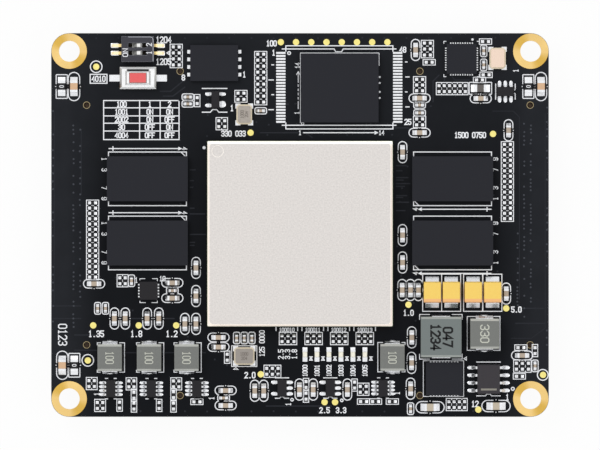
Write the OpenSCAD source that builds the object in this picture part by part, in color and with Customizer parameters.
// System on module: a populated processor board on four board-to-board connectors.
// Millimetres. The origin lies under the board's centre, on the plane that the connectors stand on.

/* [Board] */
// Width of the board, along X
board_w = 83; // [76:0.5:96]
// Depth of the board, along Y
board_d = 64; // [58:0.5:76]
// Thickness of the board
board_t = 1.6; // [1.2:0.1:2.4]
// Radius of the board's corners
corner_r = 3; // [1:0.1:3]
// Thickness of bare plated pads
pad_t = 0.04; // [0.02:0.01:0.08]

/* [Mounting holes] */
// Bore of a plated mounting hole
hole_d = 3.5; // [2.2:0.1:4]
// Outer diameter of the gold ring round it
ring_d = 5.9; // [5:0.1:5.9]
// Distance from a hole's centre to the two edges at its corner
hole_inset = 3; // [3:0.05:3.4]
// Thickness of the plating in the bore and on both faces
plating_t = 0.06; // [0.03:0.01:0.1]

/* [Processor] */
// Width and depth of the package
processor_w = 31; // [27:0.5:34]
// Thickness of the substrate
substrate_t = 1.1; // [0.8:0.1:1.6]
// Height of the lid above the substrate
lid_h = 1.8; // [1.4:0.1:2.4]
// Thickness of the lid's top
lid_t = 0.9; // [0.5:0.1:1.1]
// Width of the lower rim round the lid
lid_rim = 0.4; // [0.2:0.1:0.8]
// Thickness of that rim
lid_rim_t = 0.7; // [0.4:0.1:1]
// Width of the lid's foot that is glued to the substrate
lid_foot = 2.8; // [2:0.1:4]
// Corner radius of the lid's raised top
lid_r = 0.7; // [0.3:0.1:1.5]
// Diameter of the dimple that marks the first ball
dimple_d = 1.9; // [1:0.1:2.4]
// Depth of that dimple
dimple_t = 0.12; // [0.05:0.01:0.3]
// Width of the silicon die under the lid
die_w = 15; // [10:0.5:18]
// Height of a solder ball under the processor
ball_h = 0.45; // [0.3:0.05:0.6]
// Diameter of such a ball
ball_d = 0.6; // [0.4:0.05:0.75]
// Pitch of the balls
ball_pitch = 1; // [0.8:0.1:1.27]

/* [Memory and storage] */
// Length of a memory chip, along X
memory_w = 13.5; // [12:0.1:13.8]
// Width of a memory chip, along Y
memory_d = 7.5; // [6.8:0.1:8.4]
// Thickness of a memory chip's body
memory_t = 0.85; // [0.6:0.05:1.2]
// Gap between the processor and the memory chips beside it
memory_gap = 3.2; // [2.6:0.1:3.8]
// Length of the storage chip, along Y
storage_d = 11.5; // [10:0.1:12]
// Width of the storage chip, along X
storage_w = 13; // [11:0.1:14]
// Thickness of the storage chip's body
storage_t = 0.75; // [0.5:0.05:1]
// Height of a solder ball under these chips
small_ball_h = 0.3; // [0.2:0.05:0.4]
// Diameter of such a ball
small_ball_d = 0.36; // [0.25:0.01:0.42]
// Length of a bare pad for the second storage package
flash_pad_l = 1.55; // [1.2:0.05:1.8]
// Width of that pad
flash_pad_w = 0.32; // [0.2:0.01:0.4]
// Distance between the two rows of bare pads
flash_row_gap = 19.5; // [18:0.1:20]
// Length of the boot memory chip, along X
boot_w = 8; // [6:0.1:8.2]
// Width of the boot memory chip, along Y
boot_d = 6; // [5:0.1:6.4]
// Thickness of the boot memory chip
boot_t = 0.75; // [0.5:0.05:1]

/* [Flat packages] */
// Width of the network chip
network_w = 5; // [4:0.1:5.4]
// Thickness of the flat chips
flat_t = 0.85; // [0.6:0.05:1]
// Height of the solder and pad that a flat chip stands on
flat_lift = 0.05; // [0.03:0.01:0.1]
// Width of the memory termination regulator
terminator_w = 3; // [2:0.1:3.2]
// Width of the power controller, along X
controller_w = 6.1; // [5:0.1:6.2]
// Depth of the power controller, along Y
controller_d = 5.5; // [5:0.1:5.6]
// How far a flat chip's pins show past its sides
pin_show = 0.25; // [0.1:0.05:0.35]

/* [Leaded packages] */
// Thickness of the leads
lead_t = 0.15; // [0.1:0.01:0.2]
// Gap between a leaded body and the board
body_lift = 0.1; // [0.05:0.01:0.15]
// Slope of a moulded body's sides, as the inset at its top
draft = 0.12; // [0.05:0.01:0.2]
// Length of a lead's foot
foot_l = 0.42; // [0.3:0.01:0.5]
// Width of a small chip's body, between its leads
small_w = 1.6; // [1.3:0.05:1.8]
// Length of a small chip's body, along its leads
small_l = 2.9; // [2.6:0.05:3]
// Height of a small chip's body
small_h = 0.95; // [0.7:0.05:1.2]
// Span of a small chip from toe to toe
small_span = 2.9; // [2.7:0.05:3.2]
// Span of a buck regulator from toe to toe
buck_span = 3.5; // [3.2:0.05:3.8]
// Width of the power transistor's body, between its leads
transistor_w = 3.8; // [3.5:0.05:4]
// Length of the power transistor's body
transistor_l = 4.9; // [4.7:0.05:5.1]
// Height of the power transistor's body
transistor_h = 1.45; // [1.2:0.05:1.6]
// Span of the power transistor from toe to toe
transistor_span = 6.4; // [6:0.05:6.8]

/* [Power parts] */
// Width of a buck inductor, along X
coil_w = 4.05; // [3.6:0.05:4.2]
// Length of a buck inductor's body, along Y
coil_d = 4.45; // [4:0.05:4.6]
// Height of a buck inductor
coil_h = 1.9; // [1.4:0.05:2.4]
// Width and length of the main inductor
main_coil_w = 6.75; // [6:0.05:6.9]
// Height of the main inductor
main_coil_h = 2.9; // [2:0.05:3.2]
// Width of the second inductor, along X
second_coil_w = 4.8; // [4.4:0.05:5]
// Length of the second inductor, along Y
second_coil_d = 5; // [4.6:0.05:5.2]
// Height of the second inductor
second_coil_h = 2.6; // [2:0.05:3]
// Bevel along the two terminal edges of an inductor
coil_bevel = 0.35; // [0.1:0.05:0.5]
// How far the solder at an inductor's terminals stands out
coil_tab = 0.5; // [0.3:0.01:0.55]
// How far it stands out at the main inductor
main_coil_tab = 0.28; // [0.2:0.01:0.35]
// How far it climbs up the terminals
coil_tab_t = 0.5; // [0.3:0.05:0.7]
// Thickness of an inductor's terminals
coil_clip_t = 0.12; // [0.08:0.01:0.18]
// Width of a tantalum capacitor, along X
tantalum_w = 2.85; // [2.5:0.05:2.95]
// Length of a tantalum capacitor, along Y
tantalum_d = 3.5; // [3.2:0.05:3.6]
// Height of a tantalum capacitor
tantalum_h = 1.9; // [1.5:0.05:2.2]
// How far its terminals and their solder stand out
tantalum_tab = 0.85; // [0.5:0.05:0.95]

/* [Chip parts] */
// Length of a 0402 chip
chip_l_0402 = 1; // [0.9:0.02:1.1]
// Width of a 0402 chip
chip_w_0402 = 0.5; // [0.4:0.02:0.6]
// Height of a 0402 capacitor
cap_h_0402 = 0.5; // [0.4:0.02:0.6]
// Height of a 0402 resistor
res_h_0402 = 0.35; // [0.25:0.02:0.45]
// Length of a 0603 chip
chip_l_0603 = 1.6; // [1.5:0.02:1.7]
// Width of a 0603 chip
chip_w_0603 = 0.8; // [0.7:0.02:0.9]
// Height of a 0603 capacitor
cap_h_0603 = 0.8; // [0.6:0.02:0.9]
// Length of a 0805 chip
chip_l_0805 = 2; // [1.8:0.05:2.2]
// Width of a 0805 chip
chip_w_0805 = 1.25; // [1:0.05:1.3]
// Height of a 0805 capacitor
cap_h_0805 = 1.1; // [0.8:0.05:1.3]
// Height of a 0805 resistor or ferrite bead
res_h_0805 = 0.55; // [0.4:0.05:0.9]
// How far solder and pad reach past a 0402 chip's end
solder_0402 = 0.25; // [0.15:0.01:0.3]
// How far solder and pad reach past a 0603 chip's end
solder_0603 = 0.4; // [0.3:0.01:0.45]
// How far solder and pad reach past a 0805 chip's end
solder_0805 = 0.6; // [0.4:0.01:0.65]
// Height of a light emitting diode's base
led_base_h = 0.3; // [0.2:0.02:0.4]
// Height of its lens above the base
led_lens_h = 0.35; // [0.2:0.02:0.5]

/* [Clocks] */
// Height of a clock oscillator's ceramic base
clock_base_h = 0.6; // [0.4:0.05:0.9]
// Height of its metal lid
clock_lid_h = 0.3; // [0.15:0.05:0.5]
// Width of the ceramic rim round the lid
clock_rim = 0.25; // [0.15:0.01:0.4]
// Radius of the castellations at its corners
castle_r = 0.3; // [0.15:0.01:0.4]

/* [Setting switch] */
// Length of the housing, along X
switch_w = 5.4; // [5:0.05:5.6]
// Depth of the housing, along Y
switch_d = 4.25; // [4:0.05:4.4]
// Height of the housing
switch_h = 1.9; // [1.7:0.05:2.4]
// Pitch of the two sliders
switch_pitch = 1.27; // [1.24:0.01:1.4]
// Width of the track that a slider's base runs in
track_w = 1.02; // [0.9:0.01:1.04]
// Width of a slider's knob
knob_w = 0.62; // [0.5:0.01:0.7]
// Length of a slider's knob, along X
knob_l = 1.15; // [0.9:0.01:1.3]
// Travel of a slider towards ON
slider_travel = 0.8; // [0.5:0.05:1]
// Running clearance round a slider
slider_gap = 0.04; // [0.02:0.01:0.08]

/* [Push-button] */
// Length of the button's cover, along X
button_w = 6.1; // [5.8:0.05:6.4]
// Depth of the cover, along Y
button_d = 3.7; // [3.5:0.05:3.9]
// Height of the cover's shoulder
shoulder_h = 1.25; // [1.2:0.05:1.5]
// Height of the collar above that shoulder
collar_h = 0.5; // [0.3:0.05:0.8]
// Thickness of the cover's sheet
cover_t = 0.12; // [0.08:0.01:0.15]
// Length of the plunger's head, along X
plunger_w = 2.7; // [2.4:0.05:3]
// Depth of the plunger's head, along Y
plunger_d = 1.55; // [1.4:0.05:1.9]
// Height of the plunger's head above the collar
plunger_proud = 0.7; // [0.4:0.05:1]
// Travel of the plunger
plunger_travel = 0.2; // [0.1:0.01:0.25]
// Clearance round the plunger
plunger_gap = 0.08; // [0.04:0.01:0.12]

/* [Connectors] */
// Height of a connector below the board
connector_h = 3.3; // [2.8:0.1:5]
// Length of a connector housing
connector_l = 42.6; // [38.2:0.1:43]
// Width of a connector housing
connector_w = 5.6; // [5.2:0.1:6]
// Distance from a side connector's centre line to the board's edge
side_inset = 4.5; // [4.2:0.1:4.8]
// Distance from a top or bottom connector's centre line to the board's edge
end_inset = 4.95; // [4.6:0.1:5.2]
// Contact pitch
contact_pitch = 0.5; // [0.45:0.01:0.52]
// Contacts in each row of a bank
contact_count = 30; // [20:1:31]
// Pitch of the two banks
bank_pitch = 20; // [19.5:0.1:20.2]
// Width of a contact
contact_w = 0.2; // [0.15:0.01:0.26]
// Thickness of a contact
contact_t = 0.15; // [0.1:0.01:0.2]
// Diameter of a locating peg
peg_d = 0.8; // [0.7:0.05:1]
// Clearance between a peg and its hole in the board
peg_gap = 0.1; // [0.05:0.01:0.15]
// Distance from a housing's end to the centre of the peg there
peg_end = 1.3; // [0.8:0.05:1.8]
// Offset of the pegs from the connector's centre line
peg_offset = 1.4; // [1.2:0.05:1.6]
// Depth of a peg's end below the board's top face
peg_recess = 0.75; // [0.2:0.05:0.8]

/* [Hidden] */
$fn = 48;
// A cut runs this far past the faces that it opens
cut = 1;

// Heights of the board's two faces
board_z = connector_h;
top_z = board_z + board_t;

// Places are [x, y, turn] on a board of the drawn size, and move in proportion with its sides.
// What stands beside the processor is placed from the processor's own sides.
drawn_w = 83;
drawn_d = 64;
function spot(p) = [p[0] * board_w / drawn_w, p[1] * board_d / drawn_d, p[2]];
function spots(places) = [for (p = places) spot(p)];

processor_at = spot([0, -1.45]);
memory_y = [7.7, -3];
storage_at = spot([6.6, 22.85]);
footprint_at = spot([6.55, 22.96]);
boot_at = spot([-14.3, 27]);
network_at = spot([26.95, 27.7]);
terminator_at = spot([-25.25, -10.95]);
controller_at = spot([24.05, -25.65]);
reset_at = spot([-14.1, 20.9]);
gate_at = spot([34.25, 22.25]);
transistor_at = spot([31.45, -25.7]);
buck_at = spots([[-31.55, -27.3], [-24.8, -27.3], [-17.2, -27.3], [13.85, -27.2]]);
linear_at = spots([[-3, -27.2], [5.05, -27.2]]);
coil_at = spots([[-31.7, -22.1], [-25.15, -22.1], [-18.9, -22.1], [15.4, -22.05]]);
second_coil_at = spot([30.75, -18.1]);
tantalum_at = spots([[22.05, -11.2], [25.22, -11.2], [28.87, -11.2], [32.1, -11.2]]);
// The main inductor shares out the space between the power controller and the tantalum row
controller_top = controller_at[1] + controller_d / 2 + pin_show;
tantalum_low = tantalum_at[0][1] - tantalum_d / 2 - tantalum_tab;
main_coil_room = tantalum_low - controller_top - main_coil_w - 2 * main_coil_tab;
main_coil_y = controller_top + 0.224 * main_coil_room + main_coil_tab + main_coil_w / 2;
main_coil_at = [spot([23.5, 0])[0], main_coil_y];
switch_at = spot([-27.05, 29.3]);
button_at = spot([-27, 24.5]);
led_at = spots([for (i = [0:5]) [0.83 + 2 * i, -21.6, 90]]);

// Parts in the gaps round the processor, as distances from its sides
processor_side = processor_w / 2;
beside_x = processor_side + memory_gap / 2;
beside_left = -beside_x - 0.25;
under_y = processor_at[1] - processor_side - 1.8;
clock_at = [spot([-9.3, 18.45]), spot([32.95, 27.8]), [spot([-9.3, 0])[0], under_y - 3.1]];
// Width and depth of each clock oscillator
clock_size = [[2.6, 3.3], [2.7, 3.5], [3.4, 2.9]];
// Three capacitors share the space between the processor and the tantalum row
supply_room = tantalum_at[0][0] - tantalum_w / 2 - processor_side;
supply_share = [0.3, 0.57, 0.83];
beside_at = [
  for (y = [12.15, -1.7, -6.25]) [beside_x, spot([0, y])[1], 90],
  for (y = [-7.15, -11.85, -16.5]) [beside_left, spot([0, y])[1], 90],
  [beside_left - 1.85, spot([0, -16.5])[1], 90],
  for (d = [6.2, 8.15, 11.8, 13.6]) [beside_left - d, spot([0, -15.6])[1], 90],
  for (k = supply_share) [processor_side + k * supply_room, spot([0, -10.85])[1], 90],
  for (i = [0:1]) [spot([-13.6, 0])[0], under_y - 1.6 * i, 0]
];

// Resistor columns outside the memory chips
memory_x = processor_side + memory_gap + memory_w / 2;
column_x = memory_x + memory_w / 2 + 2.4;
column_pitch = 0.885;
column_at = [
  for (i = [0:14]) [-column_x, spot([0, 3.7 - column_pitch * i])[1], 0],
  for (i = [0:14]) [column_x, spot([0, 13.45 - column_pitch * i])[1], 0]
];

cap_0402_at = concat([
  for (d = [15.1, 16.4]) [beside_left - d, spot([0, -13.9])[1], 90],
  for (i = [-1:1]) [spot([-9.3 + 1.27 * i, 0])[0], under_y - 0.1, 90]
], spots([
  [-18.7, 21.35, 0], [-18.7, 20.2, 0], [-6.55, 19.05, 0], [19.95, 20, 0], [19.95, 18.7, 0],
  [-21.3, -10.95, 0], [-12.75, -28.85, 0], [30.65, 29.05, 90], [30.65, 26.7, 90],
  [-28.1, -9.3, 90], [18.45, -30.65, 90], [39.2, -23.5, 90]
]));
cap_0603_at = concat(beside_at, spots([
  [19.28, 29.2, 90], [34.78, 15.8, 90], [34.4, -11.45, 90], [-7.55, -27.65, 90],
  [-6.05, -27.65, 90], [-0.1, -27.45, 90], [2.2, -27.45, 90], [7.9, -27.45, 90],
  [18.65, -18.75, 90], [18.6, -23, 90], [18.45, -27.3, 90], [19.95, 21.15, 0],
  [19.95, 15.4, 0], [30.15, 21.1, 0], [-34.35, -9.8, 0], [-21.3, -9.65, 0],
  [-21.3, -12.2, 0], [-12.4, -27.6, 0], [-12.4, -30.1, 0], [37.05, -21.75, 0]
]));
cap_0805_at = spots([
  [-37.7, 23.1, 90], [40.2, 23.1, 90], [-39.65, -23.4, 90], [21.7, -30.4, 0], [32.7, -30.2, 0]
]);
res_0805_at = spots([[-39.75, 23.1, 90], [38.1, 23.1, 90], [-37.65, -23.4, 90]]);
ferrite_at = spots([[30.1, 22.8, 0]]);
res_0402_at = concat(column_at, spots([
  for (i = [0:3]) [-20.65, 29.7 - i, 0],
  for (i = [0:8]) [-6.55, 28.5 - i, 0],
  for (i = [0:1]) [-9.85, 22 - 1.05 * i, 0],
  for (i = [0:2]) [21.25, 30.35 - i, 0],
  for (i = [0:2]) [19.95, 24.3 - 0.95 * i, 0],
  for (i = [0:1]) [19.95, 17.7 - i, 0],
  [21.55, 27.15, 0], [30.95, 30.6, 0], [31.05, 25.05, 0], [29.95, 24.2, 0],
  [10.6, -29.45, 0], [12.6, -29.45, 0], [15.4, -29.45, 0], [-17.2, -29.5, 0],
  [36.85, -20.45, 0], [36.6, -25.25, 0],
  for (i = [0:1]) [-13.55 + i, 16.9, 90],
  for (i = [0:5]) [23.2 + 0.875 * i, 22.75, 90],
  for (i = [0:1]) [-30.05 + 0.9 * i, -9.3, 90],
  for (i = [0:2]) [-5.55 + 0.95 * i, -24.4, 90],
  for (bank = [0:3], i = [-1:1]) [-2 + 4.27 * bank + i, -18.95, 90],
  for (i = [0:1]) [10.05 + i, -27.4, 90],
  for (i = [0:1]) [-35.2 + 0.9 * i, -26.45, 90],
  for (i = [0:1]) [-33.8 + 0.9 * i, -30.1, 90],
  for (i = [0:1]) [-28.55 + 0.85 * i, -26.5, 90],
  for (i = [0:1]) [-21.1 + 0.9 * i, -26.5, 90],
  for (i = [0:3]) [24.85 + 0.865 * i, -29.95, 90],
  for (i = [0:2]) [36.1 + i, -23.55, 90],
  [-17.15, 20.75, 90], [-12.15, -22.05, 90], [1, -26.6, 90], [1, -28.55, 90], [9.1, -26.7, 90],
  [-30.1, -30.05, 90], [-27.7, -28.4, 90], [-27.7, -30.2, 90], [-23.5, -30.1, 90],
  [-21.1, -28.3, 90], [-21.1, -30.2, 90], [39.2, -20.95, 90]
]));

// Round bare pads: a row of test points, single ones and the three alignment marks
test_pad_d = 1.05;
test_pitch = 2.54;
test_pad_at = concat([
  for (d = [3.3, 9.55, 17.15]) [beside_left - d, spot([0, -16.75])[1]]
], spots([
  for (i = [0:7]) [-3.2 + test_pitch * i, 30.5],
  [-8.25, 15.4], [32.2, 15.2], [18.1, -13.3], [34.4, -13.9], [-6.55, -24.9], [4.1, -29.55],
  [5.85, -29.55], [29.75, -30.8], [-34, 26.4], [-35.4, -22.6], [40.55, -25]
]));

// Connectors as [x, y, turn], each with its length along its own X axis
side_x = board_w / 2 - side_inset;
end_y = board_d / 2 - end_inset;
peg_pitch = connector_l - 2 * peg_end;
connector_at = [[0, end_y, 180], [0, -end_y, 180], [-side_x, 0, -90], [side_x, 0, -90]];
// Two rows of contacts face each other across the slots and lie under the housing's walls
slot_w = 0.95;
rib_w = 1.1;
slot_l = contact_pitch * contact_count + 0.5;
contact_in = rib_w / 2 + slot_w;
contact_out = connector_w / 2 + 0.55;
blade_w = 0.3;
blade_l = slot_l - 1;
blade_depth = 1;

module at(places) {
  for (p = places)
    translate([p[0], p[1], top_z])
      rotate(p[2])
        children();
}

module box(w, d, h, z = 0) {
  translate([-w / 2, -d / 2, z])
    cube([w, d, h]);
}

// A plate with true round corners
module round_plate(w, d, h, r) {
  linear_extrude(h) {
    square([w - 2 * r, d], center = true);
    square([w, d - 2 * r], center = true);
    for (x = [-1, 1], y = [-1, 1])
      translate([x * (w / 2 - r), y * (d / 2 - r)])
        circle(r);
  }
}

// A profile drawn in X and Z, pulled along Y
module along_y(d) {
  rotate([90, 0, 0])
    linear_extrude(d, center = true)
      children();
}

// A profile drawn in Y and Z, pulled along X
module along_x(w) {
  rotate([90, 0, 90])
    linear_extrude(w, center = true)
      children();
}

// A block whose four sides lean in towards its top
module frustum(w, d, h, inset, z = 0) {
  intersection() {
    along_y(d)
      polygon([[-w / 2, z], [w / 2, z], [w / 2 - inset, z + h], [inset - w / 2, z + h]]);
    along_x(w)
      polygon([[-d / 2, z], [d / 2, z], [d / 2 - inset, z + h], [inset - d / 2, z + h]]);
  }
}

// Outline of a moulded body: drafted above and below a flat band where the leads come out
module moulded_outline(w, h, band_z) {
  polygon([
    [draft - w / 2, body_lift], [w / 2 - draft, body_lift], [w / 2, band_z], [w / 2, band_z + lead_t],
    [w / 2 - draft, body_lift + h], [draft - w / 2, body_lift + h], [-w / 2, band_z + lead_t],
    [-w / 2, band_z]
  ]);
}

function lead_z(h) = body_lift + h / 2 - lead_t / 2;

module moulded_body(w, l, h) {
  intersection() {
    along_y(l)
      moulded_outline(w, h, lead_z(h));
    along_x(w)
      moulded_outline(l, h, lead_z(h));
  }
}

// A gull-wing lead from a body's side at x to its toe, soldered flat on the board
module gull_lead(x, toe, w, z) {
  knee = x + 0.2 * (toe - foot_l - x);
  bend = lead_t / 2;
  along_y(w)
    polygon([
      [x, z], [x, z + lead_t], [knee + bend, z + lead_t], [toe - foot_l + bend, lead_t],
      [toe, lead_t], [toe, 0], [toe - foot_l, 0], [knee, z]
    ]);
}

// Leads on one side of a body: places along the side, body half width, toe and lead width
module lead_row(ys, x, toe, w, z) {
  for (y = ys)
    translate([0, y, 0])
      gull_lead(x, toe, w, z);
}

function row(count, pitch) = [for (i = [0:count - 1]) (i - (count - 1) / 2) * pitch];

// Board and bare copper

module peg_holes() {
  for (c = connector_at, x = [-1, 1])
    translate([c[0], c[1], board_z - cut])
      rotate(c[2])
        translate([x * peg_pitch / 2, peg_offset, 0])
          cylinder(d = peg_d + 2 * peg_gap, h = board_t + 2 * cut);
}

module mount_places() {
  for (x = [-1, 1], y = [-1, 1])
    translate([x * (board_w / 2 - hole_inset), y * (board_d / 2 - hole_inset), 0])
      children();
}

module circuit_board() {
  color("#24252b")
    difference() {
      translate([0, 0, board_z])
        round_plate(board_w, board_d, board_t, corner_r);
      mount_places()
        translate([0, 0, board_z - cut])
          cylinder(d = hole_d + 2 * plating_t, h = board_t + 2 * cut);
      peg_holes();
    }
}

// A plated eyelet: a thin barrel with a ring on each face of the board
module mounting_hole_plating() {
  barrel_r = hole_d / 2 + plating_t;
  color("#dfb659")
    mount_places()
      rotate_extrude()
        polygon([
          [hole_d / 2, board_z - plating_t], [ring_d / 2, board_z - plating_t],
          [ring_d / 2, board_z], [barrel_r, board_z], [barrel_r, top_z], [ring_d / 2, top_z],
          [ring_d / 2, top_z + plating_t], [hole_d / 2, top_z + plating_t]
        ]);
}

module test_pads() {
  color("#ead98a")
    at([for (p = test_pad_at) [p[0], p[1], 0]])
      cylinder(d = test_pad_d, h = pad_t, $fn = 32);
}

module flash_footprint_pads() {
  color("#d8d8d8")
    at([[footprint_at[0], footprint_at[1], 0]])
      for (x = [-1, 1], y = row(24, 0.5))
        translate([x * flash_row_gap / 2, y, 0])
          box(flash_pad_l, flash_pad_w, pad_t);
}

// Processor

processor_z = top_z + ball_h;
lid_z = processor_z + substrate_t;
ball_count = floor((processor_w - 1) / ball_pitch + 0.01);

module at_processor(z) {
  translate([processor_at[0], processor_at[1], z])
    children();
}

module processor_substrate() {
  color("#5d6b4c")
    at_processor(processor_z)
      round_plate(processor_w, processor_w, substrate_t, lid_rim / 2);
}

// A stamped cap: a lower rim, a raised top and a pocket over the die
module processor_lid() {
  top_w = processor_w - 2 * lid_rim;
  pocket_w = processor_w - 2 * lid_foot;
  dimple_at = top_w / 2 - 1.4;
  color("#dedad4")
    at_processor(lid_z)
      difference() {
        union() {
          round_plate(processor_w - lid_rim / 2, processor_w - lid_rim / 2, lid_rim_t, lid_rim / 2);
          round_plate(top_w, top_w, lid_h, lid_r);
        }
        translate([0, 0, -cut])
          round_plate(pocket_w, pocket_w, lid_h - lid_t + cut, lid_r);
        translate([-dimple_at, dimple_at, lid_h - dimple_t])
          cylinder(d = dimple_d, h = cut);
      }
}

module processor_die() {
  color("#6f7480")
    at_processor(lid_z)
      box(die_w, die_w, lid_h - lid_t);
}

module processor_balls() {
  color("silver")
    at_processor(top_z)
      for (x = row(ball_count, ball_pitch), y = row(ball_count, ball_pitch))
        translate([x, y, 0])
          cylinder(d = ball_d, h = ball_h, $fn = 16);
}

// Memory and storage

memory_at = [for (y = memory_y, x = [-1, 1]) [x * memory_x, spot([0, y])[1]]];
memory_pitch = 0.8;

module memory_chip(i) {
  color("#2c2c34")
    translate([memory_at[i][0], memory_at[i][1], top_z + small_ball_h])
      box(memory_w, memory_d, memory_t);
}

module memory_chip_1() { memory_chip(0); }
module memory_chip_2() { memory_chip(1); }
module memory_chip_3() { memory_chip(2); }
module memory_chip_4() { memory_chip(3); }

// Three rows of balls along each long side
module memory_balls() {
  color("silver")
    for (m = memory_at, x = row(16, memory_pitch), side = [-1, 1], k = [2:4])
      translate([m[0] + x, m[1] + side * k * memory_pitch, top_z])
        cylinder(d = small_ball_d, h = small_ball_h, $fn = 16);
}

module storage_chip() {
  color("#2c2c34")
    at([[storage_at[0], storage_at[1], 0]])
      box(storage_w, storage_d, storage_t, small_ball_h);
}

// A square field of balls with a free ring between its three outer rows and its core
module storage_balls() {
  count = 14;
  last = count - 1;
  pitch = 0.5;
  color("silver")
    at([[storage_at[0], storage_at[1], 0]])
      for (i = [0:last], j = [0:last]) {
        depth = min(i, last - i, j, last - j);
        if (depth < 3 || depth == 4)
          translate([(i - last / 2) * pitch, (j - last / 2) * pitch, 0])
            cylinder(d = small_ball_d, h = small_ball_h, $fn = 16);
      }
}

// Flat packages without leads

module boot_flash() {
  color("#2b2b30")
    at([[boot_at[0], boot_at[1], 0]])
      box(boot_w, boot_d, boot_t, flat_lift);
}

module network_chip() {
  color("#2b2b30")
    at([[network_at[0], network_at[1], 0]])
      box(network_w, network_w, flat_t, flat_lift);
}

module termination_regulator() {
  color("#2a2a2a")
    at([[terminator_at[0], terminator_at[1], 0]])
      box(terminator_w, terminator_w, flat_t, flat_lift);
}

module power_controller() {
  color("#2b2b30")
    at([[controller_at[0], controller_at[1], 0]])
      box(controller_w, controller_d, flat_t, flat_lift);
}

// A pad under each corner of a clock oscillator, which shows past its sides as a flat chip's pins do
clock_pad = 0.85;
function clock_pad_at(i, axis) = (clock_size[i][axis] - clock_pad) / 2 + 0.7 * pin_show;

// Pins along one side of a flat chip, soldered under its edge and showing past it
module pin_row(count, pitch, half, w, l) {
  for (y = row(count, pitch))
    translate([half + pin_show - l / 2, y, 0])
      box(l, w, flat_lift);
}

module flat_package_pins() {
  color("#d0d0d0") {
    at([[boot_at[0], boot_at[1], 0], [boot_at[0], boot_at[1], 180]])
      pin_row(4, 1.27, boot_w / 2 + pin_show, 0.6, 1.1);
    at([for (turn = [0:90:270]) [network_at[0], network_at[1], turn]])
      pin_row(10, 0.4, network_w / 2, 0.2, 0.55);
    at([for (turn = [0, 180]) [terminator_at[0], terminator_at[1], turn]])
      pin_row(5, 0.5, terminator_w / 2, 0.25, 0.6);
    at([for (turn = [90, 270]) [controller_at[0], controller_at[1], turn]])
      pin_row(10, 0.5, controller_d / 2 - pin_show / 2, 0.25, 0.6);
    at([[controller_at[0], controller_at[1], 0], [network_at[0], network_at[1], 0]])
      box(3, 3, flat_lift);
    at([[terminator_at[0], terminator_at[1], 0]])
      box(1.6, 2, flat_lift);
    at([[boot_at[0], boot_at[1], 0]])
      box(3.4, 4.2, flat_lift);
    for (i = [0:len(clock_at) - 1], x = [-1, 1], y = [-1, 1])
      at([[clock_at[i][0] + x * clock_pad_at(i, 0), clock_at[i][1] + y * clock_pad_at(i, 1), 0]])
        box(clock_pad, clock_pad, flat_lift);
  }
}

// Leaded packages

module reset_chip() {
  color("#2a2a2a")
    at([[reset_at[0], reset_at[1], 0]])
      moulded_body(small_w - 0.2, small_l, small_h);
}

module logic_gate() {
  color("#2a2a2a")
    at([[gate_at[0], gate_at[1], 90]])
      moulded_body(small_w, small_l, small_h);
}

module buck_regulators() {
  color("#2a2a2a")
    at([for (p = buck_at) [p[0], p[1], 0]])
      moulded_body(small_w, small_l, small_h);
}

module linear_regulators() {
  color("#2a2a2a")
    at([for (p = linear_at) [p[0], p[1], 0]])
      moulded_body(small_w, small_l, small_h);
}

// Lead pitches: four a side on the buck regulators, two or three on the others
module small_chip_leads() {
  z = lead_z(small_h);
  wide = 0.95;
  reset_half = small_w / 2 - 0.1;
  color("#d6d6d6") {
    at([for (p = buck_at, turn = [0, 180]) [p[0], p[1], turn]])
      lead_row(row(4, 0.65), small_w / 2, buck_span / 2, 0.32, z);
    at([for (p = linear_at) [p[0], p[1], 0]])
      lead_row(row(3, wide), small_w / 2, small_span / 2, 0.4, z);
    at([for (p = linear_at) [p[0], p[1], 180]])
      lead_row([-wide, wide], small_w / 2, small_span / 2, 0.4, z);
    at([for (turn = [90, 270]) [gate_at[0], gate_at[1], turn]])
      lead_row(row(3, wide), small_w / 2, small_span / 2, 0.4, z);
    at([[reset_at[0], reset_at[1], 180]])
      lead_row([-wide, wide], reset_half, small_span / 2, 0.42, z);
    at([[reset_at[0], reset_at[1], 0]]) {
      lead_row([wide], reset_half, small_span / 2, 0.42, z);
      lead_row([0.2 - wide], reset_half, small_span / 2, 0.84, z);
    }
  }
}

module power_transistor() {
  color("#2a2a2a")
    at([[transistor_at[0], transistor_at[1], 0]])
      moulded_body(transistor_w, transistor_l, transistor_h);
}

module power_transistor_leads() {
  color("#d6d6d6")
    at([for (turn = [0, 180]) [transistor_at[0], transistor_at[1], turn]])
      lead_row(row(4, 1.27), transistor_w / 2, transistor_span / 2, 0.42, lead_z(transistor_h));
}

// Clock oscillators

module clock_bases() {
  color("#ece0c8")
    for (i = [0:len(clock_at) - 1])
      at([[clock_at[i][0], clock_at[i][1], 0]])
        difference() {
          box(clock_size[i][0], clock_size[i][1], clock_base_h, flat_lift);
          for (x = [-1, 1], y = [-1, 1])
            translate([x * clock_size[i][0] / 2, y * clock_size[i][1] / 2, -cut])
              cylinder(r = castle_r, h = clock_base_h + 2 * cut, $fn = 24);
        }
}

module clock_lids() {
  color("#cdbfb5")
    for (i = [0:len(clock_at) - 1])
      at([[clock_at[i][0], clock_at[i][1], 0]])
        translate([0, 0, flat_lift + clock_base_h])
          round_plate(
            clock_size[i][0] - 2 * clock_rim, clock_size[i][1] - 2 * clock_rim, clock_lid_h, castle_r
          );
}

// Inductors and tantalum capacitors

// A pressed powder body, bevelled along the two edges where its terminals come out
module coil_body(w, d, h) {
  along_x(w)
    polygon([
      [-d / 2, 0], [d / 2, 0], [d / 2, h - coil_bevel], [d / 2 - coil_bevel, h],
      [coil_bevel - d / 2, h], [-d / 2, h - coil_bevel]
    ]);
}

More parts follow.
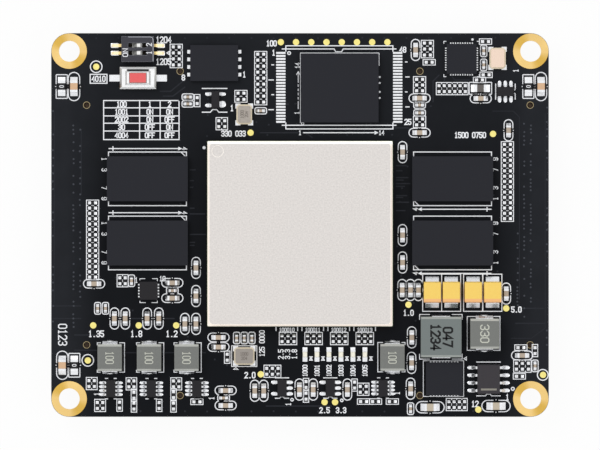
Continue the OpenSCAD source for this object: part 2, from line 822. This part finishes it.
// A strip folded up each end of the body to its bevel, with solder that slopes out from its foot
module coil_clips(w, d, h, reach) {
  toe = 0.1;
  for (side = [-1, 1])
    along_x(w)
      polygon([
        for (p = [
          [0, 0], [reach, 0], [reach, toe], [coil_clip_t, coil_tab_t],
          [coil_clip_t, h - coil_bevel], [0, h - coil_bevel]
        ])
          [side * (d / 2 + p[0]), p[1]]
      ]);
}

module buck_inductors() {
  color("#7b7b75")
    at([for (p = coil_at) [p[0], p[1], 0]])
      coil_body(coil_w, coil_d, coil_h);
}

module main_inductor() {
  color("#838482")
    at([[main_coil_at[0], main_coil_at[1], 0]])
      coil_body(main_coil_w, main_coil_w, main_coil_h);
}

module second_inductor() {
  color("#7b7b75")
    at([[second_coil_at[0], second_coil_at[1], 0]])
      coil_body(second_coil_w, second_coil_d, second_coil_h);
}

module inductor_terminals() {
  color("#e4e4e4") {
    at([for (p = coil_at) [p[0], p[1], 0]])
      coil_clips(coil_w - 1.5, coil_d, coil_h, coil_tab);
    at([[main_coil_at[0], main_coil_at[1], 0]])
      coil_clips(main_coil_w - 3.7, main_coil_w, main_coil_h, main_coil_tab);
    at([[second_coil_at[0], second_coil_at[1], 0]])
      coil_clips(second_coil_w - 1.9, second_coil_d, second_coil_h, coil_tab);
  }
}

// A moulded case with drafted ends
module tantalum_capacitors() {
  belt = tantalum_h / 2;
  color("#fdd463")
    at([for (p = tantalum_at) [p[0], p[1], 0]])
      along_x(tantalum_w)
        polygon([
          [draft - tantalum_d / 2, 0], [tantalum_d / 2 - draft, 0], [tantalum_d / 2, belt],
          [tantalum_d / 2 - draft, tantalum_h], [draft - tantalum_d / 2, tantalum_h],
          [-tantalum_d / 2, belt]
        ]);
}

// A folded terminal against the case's end, with its solder running out over the pad
module tantalum_terminals() {
  belt = tantalum_h / 2;
  end = tantalum_d / 2;
  color("#e4e4e4")
    at([for (p = tantalum_at, turn = [0, 180]) [p[0], p[1], turn]])
      along_x(tantalum_w - 0.6)
        polygon([
          [end - draft, 0], [end, belt], [end + lead_t, belt], [end + lead_t, belt / 2],
          [end + tantalum_tab, pad_t], [end + tantalum_tab, 0]
        ]);
}

// Chip parts: a ceramic block between two tinned end caps with their solder

// Share of a chip's height that solder climbs
solder_climb = 0.45;
// Length of an end cap, and how far it stands proud of the block
end_cap_0402 = 0.25;
end_cap_0603 = 0.35;
end_cap_0805 = 0.45;
cap_proud = 0.02;

module chip_block(l, w, h, end_cap) {
  box(l - 2 * end_cap, w - 2 * cap_proud, h - 2 * cap_proud, cap_proud);
}

module chip_ends(l, w, h, end_cap, solder) {
  for (turn = [0, 180])
    rotate(turn)
      along_y(w)
        polygon([
          [l / 2 - end_cap, 0], [l / 2 - end_cap, h], [l / 2, h], [l / 2, solder_climb * h],
          [l / 2 + solder, pad_t], [l / 2 + solder, 0]
        ]);
}

module capacitors_0402() {
  color("#b3a79b")
    at(cap_0402_at)
      chip_block(chip_l_0402, chip_w_0402, cap_h_0402, end_cap_0402);
}

module capacitors_0603() {
  color("#cfae8c")
    at(cap_0603_at)
      chip_block(chip_l_0603, chip_w_0603, cap_h_0603, end_cap_0603);
}

module capacitors_0805() {
  color("#d9a77f")
    at(cap_0805_at)
      chip_block(chip_l_0805, chip_w_0805, cap_h_0805, end_cap_0805);
}

module resistors_0402() {
  color("#1c1c1e")
    at(res_0402_at)
      chip_block(chip_l_0402, chip_w_0402, res_h_0402, end_cap_0402);
}

module resistors_0805() {
  color("#1c1c1e")
    at(res_0805_at)
      chip_block(chip_l_0805, chip_w_0805, res_h_0805, end_cap_0805);
}

module ferrite_bead() {
  color("#55504c")
    at(ferrite_at)
      chip_block(chip_l_0805, chip_w_0805, res_h_0805, end_cap_0805);
}

module chip_terminals() {
  color("#e4e4e4") {
    at(cap_0402_at)
      chip_ends(chip_l_0402, chip_w_0402, cap_h_0402, end_cap_0402, solder_0402);
    at(res_0402_at)
      chip_ends(chip_l_0402, chip_w_0402, res_h_0402, end_cap_0402, solder_0402);
    at(cap_0603_at)
      chip_ends(chip_l_0603, chip_w_0603, cap_h_0603, end_cap_0603, solder_0603);
    at(cap_0805_at)
      chip_ends(chip_l_0805, chip_w_0805, cap_h_0805, end_cap_0805, solder_0805);
    at(concat(res_0805_at, ferrite_at))
      chip_ends(chip_l_0805, chip_w_0805, res_h_0805, end_cap_0805, solder_0805);
    at(led_at)
      chip_ends(chip_l_0603, chip_w_0603, led_base_h, end_cap_0603, solder_0603);
  }
}

module led_bases() {
  color("#f2f0e0")
    at(led_at)
      box(chip_l_0603 - 2 * end_cap_0603, chip_w_0603, led_base_h);
}

module led_lenses() {
  color("#f6f3d8")
    at(led_at)
      frustum(chip_l_0603 - 2 * end_cap_0603, chip_w_0603, led_lens_h, 0.06, led_base_h);
}

// Setting switch: two sliders in T-shaped tracks, each with a wiper that bridges its two leads

track_l = 3.5;
window_l = 3.1;
window_w = knob_w + 2 * slider_gap + 0.1;
track_z = 0.55;
track_h = 0.55;
base_l = 1.7;
base_h = track_h - 2 * slider_gap;
wiper_t = 0.12;
wiper_l = 1.2;
wiper_w = 0.3;
switch_lead_w = 0.5;
switch_toe = 4.4;
// The knobs stand a little to the right of the tracks' middle, away from ON
knob_x = -0.1;
slot_at = [switch_pitch / 2, -switch_pitch / 2];

module switch_place() {
  at([[switch_at[0], switch_at[1], 0]])
    children();
}

module switch_housing() {
  color("#3a3a42")
    switch_place()
      difference() {
        box(switch_w, switch_d, switch_h);
        for (y = slot_at)
          translate([0, y, 0]) {
            box(track_l, track_w, track_h, track_z);
            box(window_l, window_w, switch_h, track_z);
            box(switch_w + cut, switch_lead_w, lead_t, track_z - lead_t);
          }
      }
}

// Each lead runs in under its track, with a gap in the middle that the wiper can bridge
module switch_leads() {
  inner = wiper_l / 2 - 0.3;
  color("#e3cf84")
    switch_place()
      for (y = slot_at, turn = [0, 180])
        translate([0, y, 0])
          rotate(turn) {
            gull_lead(switch_w / 2, switch_toe, switch_lead_w, track_z - lead_t);
            translate([(inner + switch_w / 2) / 2, 0, 0])
              box(switch_w / 2 - inner, switch_lead_w, lead_t, track_z - lead_t);
          }
}

module switch_slider(i) {
  floor_z = track_z + slider_gap;
  knob_top = switch_h - 0.15;
  color("white")
    switch_place()
      translate([knob_x, slot_at[i], 0])
        difference() {
          union() {
            box(base_l, track_w - 2 * slider_gap, base_h, floor_z);
            along_y(knob_w)
              polygon([
                [-knob_l / 2, floor_z], [knob_l / 2, floor_z], [knob_l / 2, knob_top],
                [0, knob_top], [-knob_l / 2, floor_z + base_h + 0.1]
              ]);
          }
          box(wiper_l, wiper_w, wiper_t - slider_gap, floor_z);
        }
}

module switch_slider_1() { switch_slider(0); }
module switch_slider_2() { switch_slider(1); }

// A thin spring strip in the slider's underside, just clear of the leads at rest
module switch_wiper(i) {
  color("#d8c27a")
    switch_place()
      translate([knob_x, slot_at[i], 0])
        box(wiper_l, wiper_w, wiper_t - slider_gap, track_z + slider_gap);
}

module switch_wiper_1() { switch_wiper(0); }
module switch_wiper_2() { switch_wiper(1); }

// Push-button: a plunger over a snap dome, in a plastic base under a folded metal cover

base_z = lead_t;
button_base_h = 0.55;
dome_d = 2.6;
dome_t = 0.05;
dome_rise = 0.3;
dome_gap = 0.02;
skirt_z = 0.2;
slope = 0.35;
collar_step = 0.45;
collar_slope = 0.4;
flange_t = 0.2;
collar_w = button_w - 2 * slope - 2 * collar_step;
collar_d = button_d - 2 * slope - 0.25;
cover_z = shoulder_h + collar_h;
floor_top = base_z + button_base_h;
pocket_t = 0.1;
dome_z = floor_top - pocket_t;
button_lead_w = 1.1;
button_toe = 4.8;

module button_place() {
  at([[button_at[0], button_at[1], 0]])
    children();
}

module cover_solid(t) {
  step_h = shoulder_h - skirt_z - slope;
  box(button_w - 2 * t, button_d - 2 * t, step_h, skirt_z);
  frustum(button_w - 2 * t, button_d - 2 * t, slope - t, slope - t, skirt_z + step_h);
  frustum(collar_w - 2 * t, collar_d - 2 * t, collar_h + slope, collar_slope, shoulder_h - slope - t);
}

module button_cover() {
  hollow = 2 * cover_t;
  color("#e8e8e8")
    button_place()
      difference() {
        cover_solid(0);
        cover_solid(cover_t);
        box(button_w - hollow, button_d - hollow, cover_t, skirt_z - cover_t / 2);
        box(plunger_w + 2 * plunger_gap, plunger_d + 2 * plunger_gap, cover_z, skirt_z);
      }
}

module button_base() {
  inner_w = button_w - 2 * cover_t;
  inner_d = button_d - 2 * cover_t;
  color("#26262a")
    button_place()
      difference() {
        union() {
          box(inner_w, inner_d, button_base_h, base_z);
          box(inner_w, button_lead_w + 0.8, base_z);
        }
        box(inner_w + cut, button_lead_w, base_z, -cut);
        box(inner_w + cut, button_lead_w, cut + base_z, -cut);
        translate([0, 0, dome_z])
          cylinder(d = dome_d + 0.1, h = cut);
      }
}

module button_leads() {
  inner = 0.8;
  color("#dcdcdc")
    button_place()
      for (side = [-1, 1])
        translate([side * (inner + button_toe) / 2, 0, 0])
          box(button_toe - inner, button_lead_w, lead_t);
}

// A spring steel dome: a shallow cap of even thickness
module button_dome() {
  half = dome_d / 2;
  cap_r = (half * half + dome_rise * dome_rise) / (2 * dome_rise);
  sweep = asin(half / cap_r);
  steps = 6;
  rim_z = (cap_r - dome_t) * cos(sweep);
  color("#c8ccd0")
    button_place()
      translate([0, 0, dome_z - rim_z])
        rotate_extrude()
          polygon([
            for (i = [0:steps]) cap_r * [sin(sweep * i / steps), cos(sweep * i / steps)],
            for (i = [steps:-1:0]) (cap_r - dome_t) * [sin(sweep * i / steps), cos(sweep * i / steps)]
          ]);
}

module button_plunger() {
  dome_top = dome_z + dome_rise + dome_t + dome_gap;
  flange_z = dome_top + 0.1;
  head_top = cover_z + plunger_proud;
  color("#ee5f62")
    button_place() {
      translate([0, 0, dome_top])
        cylinder(d = 1, h = flange_z - dome_top);
      box(plunger_w + 0.5, plunger_d + 0.3, flange_t, flange_z);
      box(plunger_w, plunger_d, head_top - flange_z - flange_t, flange_z + flange_t);
    }
}

// Board-to-board connectors under the board

module connector_place(i) {
  translate([connector_at[i][0], connector_at[i][1], 0])
    rotate(connector_at[i][2])
      children();
}

// A housing with four slots round two ribs, feet on the board at its ends and two locating pegs
module connector_housing(i) {
  wall_z = board_z - contact_t;
  color("#3b2a1a")
    connector_place(i) {
      difference() {
        box(connector_l, connector_w, board_z);
        for (bank = row(2, bank_pitch))
          translate([bank, 0, 0]) {
            for (side = [-1, 1])
              translate([0, side * (rib_w + slot_w) / 2, -cut])
                box(slot_l, slot_w, board_z + 2 * cut);
            box(slot_l, connector_w + cut, cut + contact_t, wall_z);
            box(blade_l, blade_w, blade_depth + cut, -cut);
          }
      }
      for (x = [-1, 1])
        translate([x * peg_pitch / 2, peg_offset, board_z])
          cylinder(d = peg_d, h = board_t - peg_recess, $fn = 32);
    }
}

module connector_housing_1() { connector_housing(0); }
module connector_housing_2() { connector_housing(1); }
module connector_housing_3() { connector_housing(2); }
module connector_housing_4() { connector_housing(3); }

// A contact lies on its pad, passes under the wall and turns down along the slot.
// A ground blade stands in each rib.
module connector_contacts() {
  tip_z = 0.6;
  color("#e0c160")
    for (i = [0:3])
      connector_place(i)
        for (bank = row(2, bank_pitch))
          translate([bank, 0, 0]) {
            for (x = row(contact_count, contact_pitch), side = [-1, 1])
              translate([x, 0, 0])
                along_x(contact_w)
                  polygon([
                    [side * contact_out, board_z], [side * contact_out, board_z - contact_t],
                    [side * contact_in, board_z - contact_t], [side * contact_in, tip_z],
                    [side * (contact_in - contact_t), tip_z], [side * (contact_in - contact_t), board_z]
                  ]);
            box(blade_l, blade_w, blade_depth);
          }
}

circuit_board();
mounting_hole_plating();
test_pads();
flash_footprint_pads();
processor_substrate();
processor_lid();
processor_die();
processor_balls();
memory_chip_1();
memory_chip_2();
memory_chip_3();
memory_chip_4();
memory_balls();
storage_chip();
storage_balls();
boot_flash();
network_chip();
termination_regulator();
power_controller();
flat_package_pins();
reset_chip();
logic_gate();
buck_regulators();
linear_regulators();
small_chip_leads();
power_transistor();
power_transistor_leads();
clock_bases();
clock_lids();
buck_inductors();
main_inductor();
second_inductor();
inductor_terminals();
tantalum_capacitors();
tantalum_terminals();
capacitors_0402();
capacitors_0603();
capacitors_0805();
resistors_0402();
resistors_0805();
ferrite_bead();
chip_terminals();
led_bases();
led_lenses();
switch_housing();
switch_leads();
switch_slider_1();
switch_slider_2();
switch_wiper_1();
switch_wiper_2();
button_base();
button_cover();
button_dome();
button_plunger();
button_leads();
connector_housing_1();
connector_housing_2();
connector_housing_3();
connector_housing_4();
connector_contacts();
